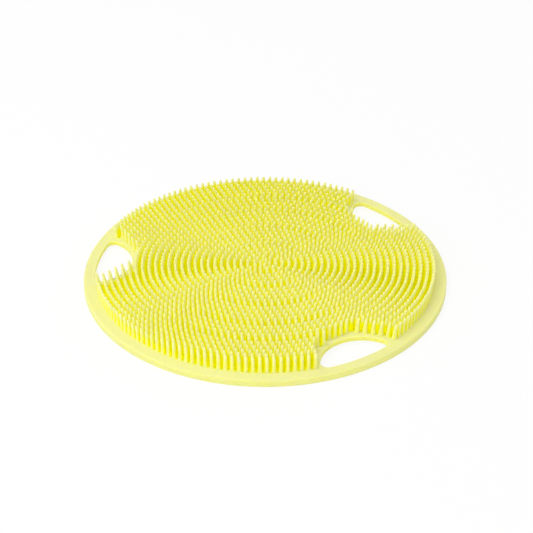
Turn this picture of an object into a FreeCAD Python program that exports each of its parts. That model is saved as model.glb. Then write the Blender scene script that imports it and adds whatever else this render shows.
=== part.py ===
"""Silicone body scrubber: a soft disc with three finger openings and a field of pointed bristles.

The disc lies flat with its bristles up. Its rim rests on z = 0 and its axis is Z.
All sizes are in millimetres, and bearings are in degrees from +X towards +Y.
"""
import FreeCAD, Part
import math
import os

# Disc: a thin web inside a deeper rim
disc_diameter = 150.0
rim_height = 3.1
rim_width = 2.6
web_thickness = 2.0
rim_bevel = 0.8

# Finger openings: each lies between an arc beside the rim and a bow towards the middle
rim_strip = 4.5
opening_depth = 14.2
bow_radius = 17.0
corner_radius = 3.0
middle_opening_bearing = 171.6
bearing_between_openings = 130.1

# Bristles, in rings about the axis
bare_band = 5.05
bare_band_at_openings = 2.2
ring_pitch = 2.69
spacing_along_ring = 3.22
bristle_width = 1.7
bristle_height = 6.4

# What follows from these sizes
disc_radius = disc_diameter / 2
outer_arc_radius = disc_radius - rim_strip
bow_centre = outer_arc_radius - opening_depth + bow_radius
last_ring_radius = disc_radius - bare_band - bristle_width / 2
tip_level = rim_height + bristle_height
opening_bearings = [
    middle_opening_bearing - bearing_between_openings,
    middle_opening_bearing,
    middle_opening_bearing + bearing_between_openings,
]
origin = FreeCAD.Vector(0, 0, 0)
upwards = FreeCAD.Vector(0, 0, 1)


def on_circle(radius, bearing, level):
    """The point at a radius and a bearing round the disc's axis."""
    angle = math.radians(bearing)
    return FreeCAD.Vector(radius * math.cos(angle), radius * math.sin(angle), level)


def moved(start, direction, length):
    """The point that lies a length away from start."""
    return start + FreeCAD.Vector(direction).normalize() * length


def opening_outline(bearing, level, grown_by=0.0):
    """The closed outline of one opening: four tangent arcs, moved outwards by a distance."""
    to_axis = outer_arc_radius - corner_radius
    to_bow_centre = bow_radius - corner_radius
    corner_x = (to_axis ** 2 - to_bow_centre ** 2 + bow_centre ** 2) / (2 * bow_centre)
    corner_y = math.sqrt(to_axis ** 2 - corner_x ** 2)
    left = FreeCAD.Vector(corner_x, corner_y, 0)
    right = FreeCAD.Vector(corner_x, -corner_y, 0)
    bow_middle = FreeCAD.Vector(bow_centre, 0, 0)
    reach = corner_radius + grown_by
    rim_end_left = moved(left, left, reach)
    rim_end_right = moved(right, right, reach)
    bow_end_left = moved(left, left - bow_middle, reach)
    bow_end_right = moved(right, right - bow_middle, reach)
    arcs = [
        Part.Arc(rim_end_right, FreeCAD.Vector(outer_arc_radius + grown_by, 0, 0), rim_end_left),
        Part.Arc(rim_end_left, moved(left, FreeCAD.Vector(0, 1, 0), reach), bow_end_left),
        Part.Arc(bow_end_left, FreeCAD.Vector(bow_centre - bow_radius - grown_by, 0, 0), bow_end_right),
        Part.Arc(bow_end_right, moved(right, FreeCAD.Vector(0, -1, 0), reach), rim_end_right),
    ]
    outline = Part.Wire([arc.toShape() for arc in arcs])
    outline.rotate(origin, upwards, bearing)
    outline.translate(upwards * level)
    return outline


def disc_without_openings():
    """The web and the rim, with the rim's upper edge bevelled."""
    recess_radius = disc_radius - rim_width
    recess_level = rim_height - web_thickness
    section = [
        FreeCAD.Vector(0, 0, recess_level),
        FreeCAD.Vector(recess_radius, 0, recess_level),
        FreeCAD.Vector(recess_radius, 0, 0),
        FreeCAD.Vector(disc_radius, 0, 0),
        FreeCAD.Vector(disc_radius, 0, rim_height - rim_bevel),
        FreeCAD.Vector(disc_radius - rim_bevel, 0, rim_height),
        FreeCAD.Vector(0, 0, rim_height),
    ]
    return Part.Face(Part.makePolygon(section + section[:1])).revolve(origin, upwards, 360)


def disc_with_openings():
    """The smooth disc that the bristles stand on."""
    disc = disc_without_openings()
    for bearing in opening_bearings:
        through = Part.Face(opening_outline(bearing, 0)).extrude(upwards * rim_height)
        disc = disc.cut(through)
    return disc


class SharedEdges:
    """Straight edges that are made once, so that the faces on both sides of one share it."""

    def __init__(self):
        self.vertices = {}
        self.edges = {}

    def edge(self, start, end):
        """The edge between two points."""
        keys = []
        for point in (start, end):
            key = (round(point.x, 6), round(point.y, 6), round(point.z, 6))
            self.vertices.setdefault(key, Part.Vertex(point))
            keys.append(key)
        keys.sort()
        pair = tuple(keys)
        if pair not in self.edges:
            self.edges[pair] = Part.Edge(self.vertices[pair[0]], self.vertices[pair[1]])
        return self.edges[pair]

    def loop(self, points):
        """The closed wire through the points."""
        return Part.Wire([self.edge(points[i - 1], points[i]) for i in range(len(points))])


class Ring:
    """One ring of bristles, counted from the middle opening's bearing.

    Each foot meets its neighbours' along a seam halfway between the tips.
    """

    def __init__(self, radius, kept_clear):
        self.radius = radius
        self.count = bristles_round(radius)
        self.step = 360 / self.count
        self.standing = [self.stands_clear(place, kept_clear) for place in range(self.count)]

    def bearing(self, place):
        """The bearing of a place round the ring."""
        return middle_opening_bearing + place * self.step

    def stands_clear(self, place, kept_clear):
        """Whether the bristle at a place round the ring is clear of every opening."""
        foot = on_circle(self.radius, self.bearing(place), rim_height)
        return not any(area.isInside(foot, 1e-6, True) for area in kept_clear)

    def is_whole(self):
        return all(self.standing)

    def runs(self):
        """The places of the bristles between one opening and the next."""
        gap = self.standing.index(False)
        run = []
        for place in range(gap + 1, gap + 1 + self.count):
            if self.standing[place % self.count]:
                run.append(place)
            elif run:
                yield run
                run = []

    def seam(self, place, side):
        """The foot's corner before a place, on the inner side (-1) or the outer side (1)."""
        return on_circle(self.radius + side * bristle_width / 2, self.bearing(place - 0.5), rim_height)

    def edge_points(self, places, side):
        """The foot's corners along one side of the ring."""
        return [self.seam(place, side) for place in places]

    def slopes(self, shared):
        """Four sloping faces for each bristle, from its foot to its tip."""
        for place in range(self.count):
            if not self.standing[place]:
                continue
            tip = on_circle(self.radius, self.bearing(place), tip_level)
            foot = [self.seam(place, -1), self.seam(place, 1), self.seam(place + 1, 1), self.seam(place + 1, -1)]
            for i in range(4):
                yield Part.Face(shared.loop([foot[i - 1], foot[i], tip]))


def bristles_round(radius):
    """How many bristles a ring has: near the axis, enough that each foot reaches past its tip."""
    spaced = round(2 * math.pi * radius / spacing_along_ring)
    foot_reach = radius + bristle_width / 2
    fewest = math.ceil(math.pi / math.acos(radius / foot_reach))
    return max(spaced, fewest)


def bristle_rings():
    """The rings from the middle outwards."""
    kept_clear = []
    for bearing in opening_bearings:
        grown_by = bare_band_at_openings + bristle_width / 2
        kept_clear.append(Part.Face(opening_outline(bearing, rim_height, grown_by)))
    rings = []
    radius = last_ring_radius
    while radius > bristle_width / 2:
        rings.insert(0, Ring(radius, kept_clear))
        radius -= ring_pitch
    return rings


def flats_between(rings, shared, edge_wires):
    """The flat faces between the rings, and the one that runs out to the rim and the openings."""
    flats = []
    inner_edge = []
    islands = []
    for ring in rings:
        if ring.is_whole():
            around = range(ring.count)
            flats.append([*inner_edge, shared.loop(ring.edge_points(around, -1))])
            inner_edge = [shared.loop(ring.edge_points(around, 1))]
            continue
        for run in ring.runs():
            seams = [*run, run[-1] + 1]
            outer_side = ring.edge_points(seams, 1)
            islands.append(shared.loop(ring.edge_points(seams, -1) + outer_side[::-1]))
    flats.append([*edge_wires, *inner_edge, *islands])
    return [Part.makeFace(wires, "Part::FaceMakerBullseye") for wires in flats]


def scrubber():
    """The whole scrubber, as one solid."""
    disc = disc_with_openings()
    top = max(disc.Faces, key=lambda face: face.CenterOfMass.z)
    shared = SharedEdges()
    rings = bristle_rings()
    faces = []
    for ring in rings:
        faces.extend(ring.slopes(shared))
    for flat in flats_between(rings, shared, top.Wires):
        faces.extend(flat.Faces)
    for face in faces:
        if face.normalAt(0, 0).z < 0:
            face.reverse()
    rest = [face for face in disc.Faces if not face.isSame(top)]
    return Part.Solid(Part.Shell(rest + faces))


def main():
    os.makedirs("parts", exist_ok=True)
    solid = scrubber()
    print("valid", solid.isValid(), "volume mm3", round(solid.Volume, 1), "faces", len(solid.Faces))
    solid.exportStep("parts/scrubber.step")


main()
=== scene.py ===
"""Looks of a silicone body scrubber: the disc with its openings, the bristles, their finish, and the studio."""
import logging
import math
import random
from dataclasses import dataclass
from enum import Enum

import bpy
from mathutils import Matrix, Vector
from mathutils.geometry import tessellate_polygon


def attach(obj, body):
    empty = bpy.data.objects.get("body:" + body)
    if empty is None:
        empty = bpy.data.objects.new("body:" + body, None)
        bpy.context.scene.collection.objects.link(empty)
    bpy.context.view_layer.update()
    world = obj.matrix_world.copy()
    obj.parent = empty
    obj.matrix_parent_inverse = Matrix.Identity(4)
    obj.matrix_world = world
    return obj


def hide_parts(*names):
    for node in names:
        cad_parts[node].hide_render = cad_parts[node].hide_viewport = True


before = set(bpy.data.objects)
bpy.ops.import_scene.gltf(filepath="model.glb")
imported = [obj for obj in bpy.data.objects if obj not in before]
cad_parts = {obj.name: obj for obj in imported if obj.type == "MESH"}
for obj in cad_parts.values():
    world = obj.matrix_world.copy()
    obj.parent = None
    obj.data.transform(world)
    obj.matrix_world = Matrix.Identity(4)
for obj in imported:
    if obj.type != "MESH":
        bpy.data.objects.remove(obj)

MM = 0.001
BODY = "root"
NODE = "scrubber"
OPENNESS = "openness"
PHOTO_WIDTH = 533
SENSOR_WIDTH = 36.0
MIDDLE_OPENING = 171.6
BETWEEN_OPENINGS = 130.1

log = logging.getLogger("scrubber")

Point = tuple[float, float]
Level = tuple[float, float]
Section = list[tuple[float, float, float]]
Colour = tuple[float, float, float]


class Openness(float, Enum):
    """How much light reaches a part of the skin, which sets the painted light in its colour: how pale or deep
    it is painted.
    """

    # painted shade: deep yellow where little light reaches
    PAINTED_SHADE = 0.0
    OPEN = 1.0
    # painted highlight: paler still, at the bristles' tips
    TIP_HIGHLIGHT = 2.0


def polar(radius: float, bearing: float) -> Point:
    """The point at a radius and a bearing in degrees.

    Args:
        radius: Distance from the disc's axis.
        bearing: Angle from +X towards +Y, in degrees.

    Returns:
        Its x and y, in the unit of the radius.
    """
    angle = math.radians(bearing)
    return radius * math.cos(angle), radius * math.sin(angle)


def quarter_round(radius: float, steps: int) -> list[Level]:
    """Points of a quarter circle that turns from level to upright.

    Args:
        radius: Radius of the rounded edge.
        steps: Number of straight steps.

    Returns:
        Pairs of the distance outwards and the drop, both from where the level face ends.
    """
    points = []
    for step in range(steps + 1):
        angle = math.pi / 2 * step / steps
        points.append((radius * math.sin(angle), radius * (1 - math.cos(angle))))
    return points


class MeshBuilder:
    """Vertices and faces of one piece, gathered in millimetres, and how open each vertex lies."""

    def __init__(self) -> None:
        """Starts with an empty mesh."""
        self.vertices: list[tuple[float, float, float]] = []
        self.openness: list[float] = []
        self.faces: list[tuple[int, ...]] = []

    def add_vertex(self, point: Point, level: float, openness: float = Openness.OPEN) -> int:
        """Adds one vertex.

        Args:
            point: Its place.
            level: Its height.
            openness: How much light reaches it, on the scale of Openness.

        Returns:
            Its number.
        """
        self.vertices.append((*point, level))
        self.openness.append(float(openness))
        return len(self.vertices) - 1

    def add_loop(self, points: list[Point], level: float, openness: float = Openness.OPEN) -> list[int]:
        """Adds a closed loop of vertices at one level.

        Args:
            points: The loop's places.
            level: Its height.
            openness: How much light reaches it.

        Returns:
            The numbers of the new vertices, in order.
        """
        return [self.add_vertex(point, level, openness) for point in points]

    def bridge(self, lower: list[int], upper: list[int]) -> None:
        """Joins two loops of the same length with a band of quads.

        Args:
            lower: The loop that each quad starts from.
            upper: The loop that it runs to.
        """
        count = len(lower)
        for i in range(count):
            j = (i + 1) % count
            self.faces.append((lower[i], lower[j], upper[j], upper[i]))

    def fill(self, loops: list[list[int]], faces_up: bool) -> None:
        """Fills the flat area inside the first loop and outside the others.

        Args:
            loops: The outer loop, then the loops of its holes.
            faces_up: Whether the new faces look towards +Z.
        """
        numbers = [number for loop in loops for number in loop]
        outlines = [[Vector(self.vertices[number]) for number in loop] for loop in loops]
        for triangle in tessellate_polygon(outlines):
            corners = [numbers[place] for place in triangle]
            a, b, c = (Vector(self.vertices[number]) for number in corners)
            if ((b - a).cross(c - a).z > 0) != faces_up:
                corners.reverse()
            self.faces.append(tuple(corners))

    def make(self, name: str) -> bpy.types.Object:
        """Makes the object, links it to the scene and logs it.

        Args:
            name: The piece's name.

        Returns:
            The new object, at the origin.
        """
        mesh = bpy.data.meshes.new(name)
        mesh.from_pydata([(x * MM, y * MM, z * MM) for x, y, z in self.vertices], [], self.faces)
        mesh.polygons.foreach_set("use_smooth", [True] * len(self.faces))
        openness = mesh.attributes.new(OPENNESS, "FLOAT", "POINT")
        openness.data.foreach_set("value", self.openness)
        mesh.update()
        piece = bpy.data.objects.new(name, mesh)
        bpy.context.scene.collection.objects.link(piece)
        log.info("%s: %d triangles", name, sum(len(face) - 2 for face in self.faces))
        return piece


@dataclass(frozen=True)
class SiliconeFinish:
    """Matte pigmented silicone with painted light in its colour: painted shade (deep yellow) between the
    bristles, pale where it lies open to the light, and a painted highlight at the tips.
    """

    # painted light: the deep colour is painted shade, the open colour the lit side, the tip colour a painted
    # highlight
    painted_shade_colour: Colour = (0.98, 0.952, 0.001)
    lit_colour: Colour = (0.89, 0.885, 0.37)
    painted_highlight_colour: Colour = (0.995, 0.988, 0.46)
    painted_shade_up_to: float = 0.4
    roughness: float = 0.55
    specular: float = 0.08
    translucence: float = 1.0
    spread: float = 0.9
    spread_shares: Colour = (1.0, 0.92, 0.12)
    grain_size: float = 0.35
    grain_height: float = 0.012
    grain_detail: float = 3.0

    def material(self) -> bpy.types.Material:
        """Builds the node material.

        Returns:
            The new material.
        """
        material = bpy.data.materials.new("silicone")
        material.use_nodes = True
        nodes = material.node_tree.nodes
        links = material.node_tree.links
        shader = nodes["Principled BSDF"]
        shader.inputs["Roughness"].default_value = self.roughness
        shader.inputs["Specular IOR Level"].default_value = self.specular
        shader.inputs["Subsurface Weight"].default_value = self.translucence
        shader.inputs["Subsurface Radius"].default_value = self.spread_shares
        shader.inputs["Subsurface Scale"].default_value = self.spread * MM
        self.add_painted_light(nodes, links, shader)
        self.add_grain(nodes, links, shader)
        return material

    def add_painted_light(
        self, nodes: bpy.types.Nodes, links: bpy.types.NodeLinks, shader: bpy.types.ShaderNode
    ) -> None:
        """Paints light and shade into the silicone's colour by how open it lies: painted shade where it is
        hidden, pale where it is lit, and a painted highlight at the tips.

        Args:
            nodes: The material's nodes.
            links: The material's links.
            shader: The shader that takes the colour.
        """
        openness = nodes.new("ShaderNodeAttribute")
        openness.attribute_name = OPENNESS
        share = nodes.new("ShaderNodeMath")
        share.operation = "MULTIPLY"
        share.inputs[1].default_value = 1 / Openness.TIP_HIGHLIGHT
        # a ramp from painted shade through the lit pale colour to a painted highlight
        tint = nodes.new("ShaderNodeValToRGB")
        stops = tint.color_ramp.elements
        stops[0].position = self.painted_shade_up_to / Openness.TIP_HIGHLIGHT
        stops[0].color = (*self.painted_shade_colour, 1)
        stops[1].color = (*self.painted_highlight_colour, 1)
        stops.new(Openness.OPEN / Openness.TIP_HIGHLIGHT).color = (*self.lit_colour, 1)
        links.new(openness.outputs["Fac"], share.inputs[0])
        links.new(share.outputs["Value"], tint.inputs["Fac"])
        links.new(tint.outputs["Color"], shader.inputs["Base Color"])

    def add_grain(
        self, nodes: bpy.types.Nodes, links: bpy.types.NodeLinks, shader: bpy.types.ShaderNode
    ) -> None:
        """Adds the fine grain that the mould leaves.

        Args:
            nodes: The material's nodes.
            links: The material's links.
            shader: The shader that takes the grain.
        """
        place = nodes.new("ShaderNodeTexCoord")
        grain = nodes.new("ShaderNodeTexNoise")
        grain.inputs["Scale"].default_value = 1 / (self.grain_size * MM)
        grain.inputs["Detail"].default_value = self.grain_detail
        bump = nodes.new("ShaderNodeBump")
        bump.inputs["Distance"].default_value = self.grain_height * MM
        links.new(place.outputs["Object"], grain.inputs["Vector"])
        links.new(grain.outputs["Fac"], bump.inputs["Height"])
        links.new(bump.outputs["Normal"], shader.inputs["Normal"])


def dress(piece: bpy.types.Object, material: bpy.types.Material) -> None:
    """Gives a piece its material and its body, and hides the node that it stands for.

    Args:
        piece: The finished object.
        material: Its material.
    """
    piece.data.materials.append(material)
    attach(piece, BODY)
    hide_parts(NODE)


@dataclass
class FingerOpening:
    """One opening for a finger: an arc beside the rim, a bow towards the middle, and round corners."""

    bearing: float
    arc_radius: float = 70.5
    depth: float = 14.2
    bow_radius: float = 17.0
    corner_radius: float = 3.0
    arc_steps: int = 14
    corner_steps: int = 14
    bow_steps: int = 30

    @property
    def bow_centre(self) -> float:
        """How far the bow's centre is from the disc's axis."""
        return self.arc_radius - self.depth + self.bow_radius

    def corner_centre(self) -> Point:
        """Where the corner on the +Y side is centred, on an opening that faces +X.

        Returns:
            Its x and y.
        """
        to_axis = self.arc_radius - self.corner_radius
        to_bow = self.bow_radius - self.corner_radius
        x = (to_axis ** 2 - to_bow ** 2 + self.bow_centre ** 2) / (2 * self.bow_centre)
        return x, math.sqrt(to_axis ** 2 - x ** 2)

    def outline(self, grown_by: float = 0.0) -> list[Point]:
        """The closed outline, moved outwards by a distance.

        Args:
            grown_by: How far outside the opening's wall it runs.

        Returns:
            Points in order, with the same number at every distance.
        """
        x, y = self.corner_centre()
        rim_angle = math.degrees(math.atan2(y, x))
        bow_angle = math.degrees(math.atan2(y, x - self.bow_centre))
        arcs = [
            ((0.0, 0.0), self.arc_radius, -rim_angle, rim_angle, self.arc_steps),
            ((x, y), self.corner_radius, rim_angle, bow_angle, self.corner_steps),
            ((self.bow_centre, 0.0), self.bow_radius, bow_angle, 360 - bow_angle, self.bow_steps),
            ((x, -y), self.corner_radius, 360 - bow_angle, 360 - rim_angle, self.corner_steps),
        ]
        turn = math.radians(self.bearing)
        cosine, sine = math.cos(turn), math.sin(turn)
        points = []
        for centre, radius, start, end, steps in arcs:
            for step in range(steps):
                dx, dy = polar(radius + grown_by, start + (end - start) * step / steps)
                px, py = centre[0] + dx, centre[1] + dy
                points.append((px * cosine - py * sine, px * sine + py * cosine))
        return points

    def keeps_off(self, point: Point, distance: float) -> bool:
        """Whether a point lies outside the opening by at least a distance.

        Args:
            point: A place on the disc.
            distance: The distance to keep.

        Returns:
            True where it is far enough away.
        """
        turn = math.radians(self.bearing)
        along = point[0] * math.cos(turn) + point[1] * math.sin(turn)
        across = abs(-point[0] * math.sin(turn) + point[1] * math.cos(turn))
        x, y = self.corner_centre()
        beside_arc = across * x <= along * y
        beside_bow = across * (self.bow_centre - x) <= (self.bow_centre - along) * y
        past_arc = math.hypot(along, across) - self.arc_radius
        past_bow = math.hypot(along - self.bow_centre, across) - self.bow_radius
        if beside_arc or beside_bow:
            return max(past_arc, past_bow) >= distance
        return math.hypot(along - x, across - y) - self.corner_radius >= distance


@dataclass(frozen=True)
class Bristle:
    """One tapered bristle, which flares into the web at its foot and ends in a round tip."""

    height: float = 6.4
    flare_radius: float = 1.28
    flare_height: float = 0.8
    foot_radius: float = 0.94
    neck_radius: float = 0.53
    tip_round: float = 0.45
    tip_slope: float = 50.0
    # painted light: the shaft is painted shade at its foot, paler up to the neck, and a painted highlight at
    # the shoulder and tip
    middle_openness: float = 0.5
    neck_openness: float = 1.65
    shoulder_openness: float = 1.9
    sides: int = 8

    def profile(self) -> Section:
        """The shape of one side.

        Returns:
            Radius, height above the web and openness of each loop, from the foot upwards.
        """
        neck_height = self.height - self.tip_round
        slope = math.radians(self.tip_slope)
        middle_radius = (self.foot_radius + self.neck_radius) / 2
        middle_height = (self.flare_height + neck_height) / 2
        shoulder_radius = self.neck_radius * math.cos(slope)
        shoulder_height = neck_height + self.tip_round * math.sin(slope)
        return [
            (self.flare_radius, 0.0, Openness.PAINTED_SHADE),
            (self.foot_radius, self.flare_height, Openness.PAINTED_SHADE),
            (middle_radius, middle_height, self.middle_openness),
            (self.neck_radius, neck_height, self.neck_openness),
            (shoulder_radius, shoulder_height, self.shoulder_openness),
        ]

    def add_to(
        self, mesh: MeshBuilder, foot: Point, lean: Point, level: float, open_sides: list[float]
    ) -> list[int]:
        """Adds the bristle to a mesh.

        Args:
            mesh: The mesh.
            foot: Where it stands.
            lean: How far its tip is off its foot.
            level: The height of the web that it stands on.
            open_sides: Bearings of the sides on which it has no neighbour.

        Returns:
            The loop round its foot.
        """
        loops = []
        for radius, height, openness in self.profile():
            bend = (height / self.height) ** 2
            loop = []
            for side in range(self.sides):
                bearing = 360 * side / self.sides
                dx, dy = polar(radius, bearing)
                place = (foot[0] + lean[0] * bend + dx, foot[1] + lean[1] * bend + dy)
                # painted light: sides with no neighbour are painted pale, as lit; sides between neighbours keep
                # the painted shade
                facing = [math.cos(math.radians(bearing - open_side)) for open_side in open_sides]
                exposed = max(facing, default=0.0)
                loop.append(mesh.add_vertex(place, level + height, max(openness, exposed)))
            loops.append(loop)
        for lower, upper in zip(loops, loops[1:]):
            mesh.bridge(lower, upper)
        tip_place = (foot[0] + lean[0], foot[1] + lean[1])
        # the tip is painted as a highlight
        tip = mesh.add_vertex(tip_place, level + self.height, Openness.TIP_HIGHLIGHT)
        last = loops[-1]
        for side in range(self.sides):
            mesh.faces.append((last[side], last[(side + 1) % self.sides], tip))
        return loops[0]


@dataclass(frozen=True)
class Ring:
    """One ring of evenly spaced bristles."""

    radius: float
    count: int
    first_bearing: float

    def bearing(self, place: float) -> float:
        """The bearing of a place round the ring, halves being the borders between two bristles."""
        return self.first_bearing + 360 * place / self.count

    def nearest(self, bearing: float) -> int:
        """The place of the bristle nearest to a bearing."""
        return round((bearing - self.first_bearing) * self.count / 360) % self.count

    def borders_between(self, start: float, end: float) -> list[float]:
        """The borders' bearings that lie between two bearings.

        Args:
            start: The lower bearing, in degrees.
            end: The higher one.

        Returns:
            The bearings in order.
        """
        step = 360 / self.count
        place = math.floor((start - self.first_bearing) / step - 0.5)
        bearings = [self.bearing(place + i + 0.5) for i in range(math.ceil((end - start) / step) + 2)]
        return [bearing for bearing in bearings if start + 1e-3 < bearing < end - 1e-3]


class Web:
    """The web's cells, one round each bristle, with borders that neighbours share."""

    def __init__(self, mesh: MeshBuilder, level: float, border_radii: list[float]) -> None:
        """Starts with no cell.

        Args:
            mesh: The mesh that the cells go into.
            level: The web's height.
            border_radii: Radii of the circles that part the rings, from the innermost outwards.
        """
        self.mesh = mesh
        self.level = level
        self.border_radii = border_radii
        self.vertices: dict[tuple[int, int], int] = {}
        self.open_edges: set[tuple[int, int]] = set()

    def vertex(self, border: int, bearing: float) -> int:
        """The one vertex at a bearing on a border.

        Args:
            border: The border's number.
            bearing: The bearing in degrees.

        Returns:
            The vertex's number, and a new one only where there was none.
        """
        key = (border, round(bearing * 1000) % 360000)
        if key not in self.vertices:
            place = polar(self.border_radii[border], bearing)
            # painted shade: the web between the bristles is painted deep yellow
            self.vertices[key] = self.mesh.add_vertex(place, self.level, Openness.PAINTED_SHADE)
        return self.vertices[key]

    def close(self, cell: list[int], foot_loop: list[int]) -> None:
        """Fills a cell round its bristle's foot, and notes which of its edges have no neighbour yet.

        Args:
            cell: The vertices round the cell.
            foot_loop: The loop round the foot.
        """
        self.mesh.fill([cell, foot_loop], faces_up=True)
        for edge in zip(cell, cell[1:] + cell[:1]):
            if edge[::-1] in self.open_edges:
                self.open_edges.remove(edge[::-1])
            else:
                self.open_edges.add(edge)

    def outlines(self) -> list[list[int]]:
        """Joins the edges that have no neighbour into closed loops, which lie open to the light.

        Returns:
            The loops, the longest first.
        """
        ends: dict[int, list[int]] = {}
        for start, end in sorted(self.open_edges):
            # painted light: the web's open edges are painted pale, as lit
            self.mesh.openness[start] = float(Openness.OPEN)
            ends.setdefault(start, []).append(end)
        loops = []
        while ends:
            vertex = next(iter(ends))
            loop = []
            while vertex in ends:
                loop.append(vertex)
                vertex = ends[vertex].pop()
                if not ends[loop[-1]]:
                    del ends[loop[-1]]
            loops.append(loop)
        return sorted(loops, key=len, reverse=True)


@dataclass
class BristleField:
    """Rings of bristles about the axis, with the web between them."""

    openings: list[FingerOpening]
    bristle: Bristle = Bristle()
    first_bearing: float = MIDDLE_OPENING
    last_ring_radius: float = 69.1
    ring_pitch: float = 2.69
    spacing: float = 2.72
    fewest_in_ring: int = 3
    clear_of_openings: float = 2.25
    lean_sideways: float = 0.9
    lean_inwards: float = 1.2
    lean_back: float = 0.6
    unevenness: float = 0.06
    seed: int = 7

    def rings(self) -> list[Ring]:
        """The rings that the field has room for.

        Returns:
            The rings from the middle outwards.
        """
        rings = []
        radius = self.last_ring_radius
        while round(2 * math.pi * radius / self.spacing) >= self.fewest_in_ring:
            rings.insert(0, Ring(radius, round(2 * math.pi * radius / self.spacing), self.first_bearing))
            radius -= self.ring_pitch
        return rings

    def standing(self, ring: Ring) -> list[bool]:
        """Which of a ring's bristles stand clear of every opening.

        Args:
            ring: The ring.

        Returns:
            One entry for each place round it.
        """
        clear = []
        for place in range(ring.count):
            foot = polar(ring.radius, ring.bearing(place))
            clear.append(all(opening.keeps_off(foot, self.clear_of_openings) for opening in self.openings))
        return clear

    def shift(self, foot: Point, chance: random.Random) -> Point:
        """How far the soft web's slight bend and chance carry a tip off its foot.

        Args:
            foot: Where the bristle stands.
            chance: The source of the unevenness.

        Returns:
            The tip's shift.
        """
        across, along = foot[0] / self.last_ring_radius, foot[1] / self.last_ring_radius
        sideways = self.lean_sideways * across + chance.gauss(0, self.unevenness)
        backwards = -self.lean_inwards * along - self.lean_back * along ** 2
        return sideways, backwards + chance.gauss(0, self.unevenness)

    def open_sides(self, rings: list[Ring], standing: list[list[bool]], number: int, place: int) -> list[float]:
        """On which sides a bristle has no neighbour.

        Args:
            rings: All rings.
            standing: Which bristles stand, for each ring.
            number: The bristle's ring.
            place: Its place round the ring.

        Returns:
            The bearings of those sides.
        """
        bearing = rings[number].bearing(place)
        sides = []
        outer, inner = number + 1, number - 1
        if outer == len(rings) or not standing[outer][rings[outer].nearest(bearing)]:
            sides.append(bearing)
        if inner >= 0 and not standing[inner][rings[inner].nearest(bearing)]:
            sides.append(bearing + 180)
        for turn, next_place in ((90, place + 1), (-90, place - 1)):
            if not standing[number][next_place % rings[number].count]:
                sides.append(bearing + turn)
        return sides

    def cell(self, web: Web, rings: list[Ring], number: int, place: int) -> list[int]:
        """A bristle's share of the web.

        Args:
            web: The web.
            rings: All rings.
            number: The bristle's ring.
            place: Its place round the ring.

        Returns:
            The vertices round it, in order.
        """
        start, end = rings[number].bearing(place - 0.5), rings[number].bearing(place + 0.5)
        outer = rings[number + 1].borders_between(start, end) if number + 1 < len(rings) else []
        inner = rings[number - 1].borders_between(start, end) if number > 0 else []
        outer_side = [web.vertex(number + 1, bearing) for bearing in (start, *outer, end)]
        inner_side = [web.vertex(number, bearing) for bearing in (end, *reversed(inner), start)]
        return outer_side + inner_side

    def add_to(self, mesh: MeshBuilder, level: float) -> list[list[int]]:
        """Adds the bristles and the web round each of them.

        Args:
            mesh: The mesh.
            level: The web's height.

        Returns:
            The loops round what is covered, the longest first.
        """
        chance = random.Random(self.seed)
        rings = self.rings()
        standing = [self.standing(ring) for ring in rings]
        steps_in = [border - len(rings) + 0.5 for border in range(len(rings) + 1)]
        web = Web(mesh, level, [self.last_ring_radius + step * self.ring_pitch for step in steps_in])
        for number, ring in enumerate(rings):
            for place in range(ring.count):
                if not standing[number][place]:
                    continue
                foot = polar(ring.radius, ring.bearing(place))
                cell = self.cell(web, rings, number, place)
                open_sides = self.open_sides(rings, standing, number, place)
                foot_loop = self.bristle.add_to(mesh, foot, self.shift(foot, chance), level, open_sides)
                web.close(cell, foot_loop)
        log.info("%d bristles in %d rings", sum(map(sum, standing)), len(rings))
        return web.outlines()


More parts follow.
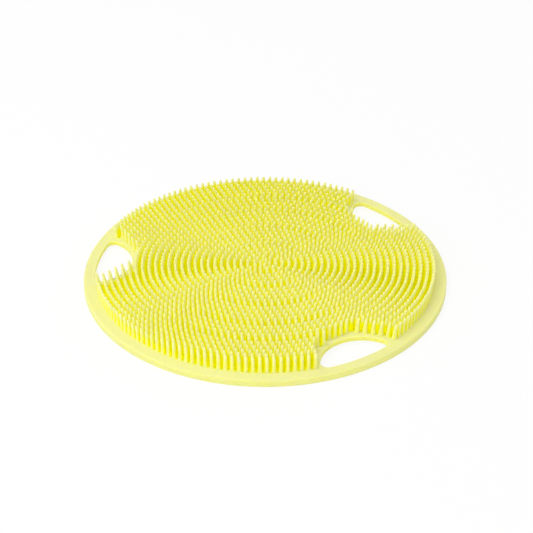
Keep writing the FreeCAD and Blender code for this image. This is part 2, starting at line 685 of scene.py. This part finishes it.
@dataclass
class Moulding:
    """The whole scrubber as one skin: the rim, the web with its openings, and the bristles."""

    openings: list[FingerOpening]
    radius: float = 75.0
    rim_height: float = 3.1
    rim_width: float = 2.6
    web_thickness: float = 2.0
    rim_round: float = 0.45
    opening_round: float = 0.3
    underside_round: float = 0.25
    hold: float = 0.12
    # painted shade: the rim wall is painted a little deeper than the lit top
    wall_openness: float = 0.93
    # painted shade: the openings' walls are painted a deeper yellow
    opening_wall_openness: float = 0.8
    around: int = 300
    steps: int = 4
    underside_steps: int = 2

    def rim_profile(self) -> Section:
        """The section of the rim.

        Returns:
            Radius, height and openness of each loop, from the rim's upper face to the web's underside.
        """
        top_edge = self.radius - self.rim_round
        profile = [(top_edge - self.hold, self.rim_height, Openness.OPEN)]
        for out, drop in quarter_round(self.rim_round, self.steps):
            # painted shade below the middle of the rounded edge
            openness = Openness.OPEN if drop < self.rim_round / 2 else self.wall_openness
            profile.append((top_edge + out, self.rim_height - drop, openness))
        small = self.underside_round
        turn = quarter_round(small, self.underside_steps)
        for out, drop in reversed(turn):
            profile.append((self.radius - small + out, drop, self.wall_openness))
        recess_radius = self.radius - self.rim_width
        recess_level = self.rim_height - self.web_thickness
        for out, drop in turn:
            profile.append((recess_radius + small - out, drop, Openness.OPEN))
        for out, drop in reversed(turn):
            profile.append((recess_radius - small + out, recess_level - drop, Openness.OPEN))
        profile.append((recess_radius - small - self.hold, recess_level, Openness.OPEN))
        return profile

    def opening_profile(self) -> Section:
        """The section of an opening's edge.

        Returns:
            Distance outside the wall, height and openness of each loop, from the top down.
        """
        profile = [(self.opening_round + self.hold, self.rim_height, Openness.OPEN)]
        for out, drop in quarter_round(self.opening_round, self.steps):
            # painted shade below the middle of the rounded edge
            openness = Openness.OPEN if drop < self.opening_round / 2 else self.opening_wall_openness
            profile.append((self.opening_round - out, self.rim_height - drop, openness))
        small = self.underside_round
        under = self.rim_height - self.web_thickness
        for out, drop in reversed(quarter_round(small, self.underside_steps)):
            profile.append((small - out, under + drop, self.opening_wall_openness))
        profile.append((small + self.hold, under, Openness.OPEN))
        return profile

    def build(self) -> bpy.types.Object:
        """Builds the mesh.

        Returns:
            The scrubber.
        """
        mesh = MeshBuilder()
        rim_loops = []
        for radius, level, openness in self.rim_profile():
            circle = [polar(radius, 360 * i / self.around) for i in range(self.around)]
            rim_loops.append(mesh.add_loop(circle, level, openness))
        for upper, lower in zip(rim_loops, rim_loops[1:]):
            mesh.bridge(lower, upper)
        top = [rim_loops[0]]
        under = [rim_loops[-1]]
        for opening in self.openings:
            loops = []
            for out, level, openness in self.opening_profile():
                loops.append(mesh.add_loop(opening.outline(out), level, openness))
            for upper, lower in zip(loops, loops[1:]):
                mesh.bridge(upper, lower)
            top.append(loops[0])
            under.append(loops[-1])
        field_edge, middle = BristleField(self.openings).add_to(mesh, self.rim_height)
        mesh.fill([*top, field_edge], faces_up=True)
        mesh.fill([middle], faces_up=True)
        mesh.fill(under, faces_up=False)
        return mesh.make("scrubber_skin")


@dataclass(frozen=True)
class PaperFinish:
    """Plain white paper sweep under the scrubber."""

    colour: Colour = (0.9, 0.9, 0.9)
    roughness: float = 0.9
    glow: float = 1.02
    glow_share: float = 0.25
    seen_glow_share: float = 0.82

    def material(self) -> bpy.types.Material:
        """Builds the floor's material, which the camera sees as near white.

        Returns:
            The new material.
        """
        material = bpy.data.materials.new("paper")
        material.use_nodes = True
        nodes = material.node_tree.nodes
        links = material.node_tree.links
        shader = nodes["Principled BSDF"]
        shader.inputs["Base Color"].default_value = (*self.colour, 1)
        shader.inputs["Roughness"].default_value = self.roughness
        rays = nodes.new("ShaderNodeLightPath")
        seen = nodes.new("ShaderNodeMath")
        seen.operation = "MAXIMUM"
        links.new(rays.outputs["Is Camera Ray"], seen.inputs[0])
        links.new(rays.outputs["Is Glossy Ray"], seen.inputs[1])
        seen_through = nodes.new("ShaderNodeMath")
        seen_through.operation = "MAXIMUM"
        links.new(seen.outputs[0], seen_through.inputs[0])
        links.new(rays.outputs["Is Transmission Ray"], seen_through.inputs[1])
        share = nodes.new("ShaderNodeMath")
        share.operation = "MULTIPLY_ADD"
        share.inputs[1].default_value = self.seen_glow_share - self.glow_share
        share.inputs[2].default_value = self.glow_share
        links.new(seen_through.outputs[0], share.inputs[0])
        glow = nodes.new("ShaderNodeEmission")
        glow.inputs["Strength"].default_value = self.glow
        mix = nodes.new("ShaderNodeMixShader")
        links.new(share.outputs[0], mix.inputs["Fac"])
        links.new(shader.outputs["BSDF"], mix.inputs[1])
        links.new(glow.outputs["Emission"], mix.inputs[2])
        links.new(mix.outputs["Shader"], nodes["Material Output"].inputs["Surface"])
        return material


@dataclass
class Lamp:
    """One soft rectangular lamp that points at the disc."""

    name: str
    bearing: float
    elevation: float
    distance: float
    size: float
    power: float

    def build(self) -> None:
        """Adds the lamp to the scene."""
        light = bpy.data.lights.new(self.name, "AREA")
        light.size = self.size * MM
        light.energy = self.power
        lamp = bpy.data.objects.new(self.name, light)
        x, y = polar(self.distance * math.cos(math.radians(self.elevation)), self.bearing)
        place = Vector((x, y, self.distance * math.sin(math.radians(self.elevation)))) * MM
        lamp.location = place
        lamp.rotation_euler = (-place).to_track_quat("-Z", "Y").to_euler()
        bpy.context.scene.collection.objects.link(lamp)


@dataclass
class Studio:
    """Floor, lamps, surroundings and camera."""

    lamps: list[Lamp]
    floor_size: float = 6000.0
    surroundings: float = 0.695
    diffuse_bounces: int = 12
    elevation: float = 33.62
    distance: float = 913.4
    focal_pixels: float = 2200.0
    pan: float = 0.034
    tilt: float = 0.349
    roll: float = 0.054
    nearest_seen: float = 10.0
    farthest_seen: float = 20000.0

    def build_floor(self) -> None:
        """Adds the paper that the scrubber lies on."""
        half = self.floor_size / 2
        mesh = MeshBuilder()
        corners = mesh.add_loop([(-half, -half), (half, -half), (half, half), (-half, half)], 0.0)
        mesh.fill([corners], faces_up=True)
        floor = mesh.make("floor")
        floor.data.materials.append(PaperFinish().material())

    def build_surroundings(self) -> None:
        """Sets an even pale surrounding that the camera sees as white."""
        world = bpy.data.worlds.new("studio")
        world.use_nodes = True
        nodes = world.node_tree.nodes
        links = world.node_tree.links
        even = nodes["Background"]
        even.inputs["Color"].default_value = (1, 1, 1, 1)
        even.inputs["Strength"].default_value = self.surroundings
        white = nodes.new("ShaderNodeBackground")
        white.inputs["Color"].default_value = (1, 1, 1, 1)
        rays = nodes.new("ShaderNodeLightPath")
        mix = nodes.new("ShaderNodeMixShader")
        links.new(rays.outputs["Is Camera Ray"], mix.inputs["Fac"])
        links.new(even.outputs["Background"], mix.inputs[1])
        links.new(white.outputs["Background"], mix.inputs[2])
        links.new(mix.outputs["Shader"], nodes["World Output"].inputs["Surface"])
        bpy.context.scene.world = world

    def build_camera(self) -> None:
        """Places the camera at the photograph's viewing angle."""
        elevation = math.radians(self.elevation)
        place = Vector((0, -math.cos(elevation), math.sin(elevation))) * self.distance
        ahead = -place.normalized()
        right = Vector((1, 0, 0))
        up = right.cross(ahead)
        sideways = right * math.tan(math.radians(self.pan))
        upwards = up * math.tan(math.radians(self.tilt))
        ahead = (ahead + sideways + upwards).normalized()
        right = ahead.cross(Vector((0, 0, 1))).normalized()
        up = right.cross(ahead)
        turn = math.radians(self.roll)
        rolled_right = right * math.cos(turn) + up * math.sin(turn)
        rolled_up = up * math.cos(turn) - right * math.sin(turn)
        data = bpy.data.cameras.new("camera")
        data.sensor_width = SENSOR_WIDTH
        data.lens = self.focal_pixels / PHOTO_WIDTH * SENSOR_WIDTH
        data.clip_start = self.nearest_seen * MM
        data.clip_end = self.farthest_seen * MM
        camera = bpy.data.objects.new("camera", data)
        matrix = Matrix((rolled_right, rolled_up, -ahead)).transposed().to_4x4()
        matrix.translation = place * MM
        camera.matrix_world = matrix
        bpy.context.scene.collection.objects.link(camera)
        bpy.context.scene.camera = camera

    def build(self) -> None:
        """Builds the whole studio."""
        self.build_floor()
        self.build_surroundings()
        for lamp in self.lamps:
            lamp.build()
        self.build_camera()
        bpy.context.scene.view_settings.view_transform = "Standard"
        bpy.context.scene.cycles.diffuse_bounces = self.diffuse_bounces


def main() -> None:
    """Builds the scrubber and the studio, and reports each piece."""
    logging.basicConfig(level=logging.INFO, format="%(name)s %(message)s")
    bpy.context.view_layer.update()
    openings = [FingerOpening(MIDDLE_OPENING + turn) for turn in (-BETWEEN_OPENINGS, 0, BETWEEN_OPENINGS)]
    dress(Moulding(openings).build(), SiliconeFinish().material())
    Studio(
        lamps=[
            Lamp("key_left", bearing=180, elevation=64, distance=1000, size=280, power=2.0),
            Lamp("fill_front", bearing=245, elevation=30, distance=1200, size=600, power=3.1),
        ],
    ).build()


if __name__ == "__main__":
    main()
